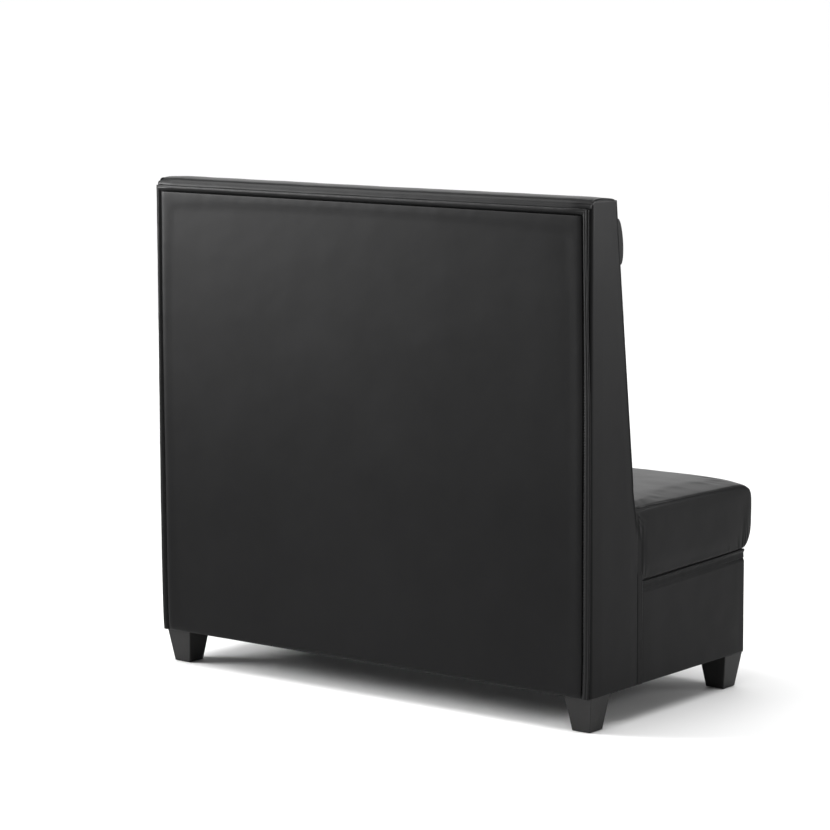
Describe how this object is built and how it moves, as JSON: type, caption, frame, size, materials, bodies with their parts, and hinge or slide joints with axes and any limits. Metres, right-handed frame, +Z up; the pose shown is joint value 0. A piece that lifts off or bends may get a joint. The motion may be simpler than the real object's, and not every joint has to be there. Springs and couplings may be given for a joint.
{
  "type": "restaurant booth",
  "caption": "Single restaurant booth with a thick leaning padded back, a rolled top cap and head roll, a crowned seat cushion on a boxed base, and short tapered square legs.",
  "frame": {"origin": "floor level, at the middle of the booth's width and depth", "axes": "+X along the booth, towards the right of a person who faces it; the sitter faces -Y and the outside back faces +Y; +Z up"},
  "size_m": [1.1684, 0.615, 1.0905],
  "materials": {
    "black_vinyl": "smooth satin upholstery vinyl with a faint grain",
    "foam": "open-cell upholstery foam",
    "wadding": "polyester wadding",
    "dust_cloth": "thin non-woven cloth",
    "plywood": "raw birch plywood",
    "block_wood": "raw pine",
    "hardboard": "smooth hardboard",
    "black_wood": "black satin lacquer",
    "glide_plastic": "moulded nylon",
    "zinc_steel": "zinc plated"
  },
  "bodies": {
    "root": {"back_centre_rib": "plywood", "back_dust_cover": "dust_cloth", "back_end_panel_left": "plywood", "back_end_panel_right": "plywood", "back_head_rail": "plywood", "back_joining_rail": "plywood", "back_middle_rail": "plywood", "back_rear_rail": "plywood", "back_side_cover_left": "black_vinyl", "back_side_cover_right": "black_vinyl", "back_side_padding_left": "wadding", "back_side_padding_right": "wadding", "back_top_rail": "plywood", "base_band": "black_vinyl", "base_front_cover": "black_vinyl", "base_front_padding": "wadding", "base_side_cover_left": "black_vinyl", "base_side_cover_right": "black_vinyl", "base_side_padding_left": "wadding", "base_side_padding_right": "wadding", "corner_block_front_left": "block_wood", "corner_block_front_right": "block_wood", "corner_block_rear_left": "block_wood", "corner_block_rear_right": "block_wood", "cushion_board": "plywood", "cushion_boxing": "black_vinyl", "cushion_screws": "zinc_steel", "cushion_top_cover": "black_vinyl", "hanger_bolts": "zinc_steel", "head_roll_cover": "black_vinyl", "head_roll_foam": "foam", "inside_back_board": "plywood", "inside_back_cover": "black_vinyl", "inside_back_foam": "foam", "joining_bolts": "zinc_steel", "joining_nuts": "zinc_steel", "joining_washers": "zinc_steel", "leg_front_left": "black_wood", "leg_front_right": "black_wood", "leg_glides": "glide_plastic", "leg_rear_left": "black_wood", "leg_rear_right": "black_wood", "leg_tee_nuts": "zinc_steel", "outside_back_board": "hardboard", "outside_back_border": "black_vinyl", "outside_back_cover": "black_vinyl", "outside_back_padding": "wadding", "seat_centre_rib": "plywood", "seat_deck_board": "plywood", "seat_dust_cover": "dust_cloth", "seat_end_panel_left": "plywood", "seat_end_panel_right": "plywood", "seat_foam": "foam", "seat_front_panel": "plywood", "seat_rear_panel": "plywood", "side_strip_left": "black_vinyl", "side_strip_right": "black_vinyl", "top_cap_cover": "black_vinyl", "top_cap_foam": "foam"}
  },
  "joints": []
}
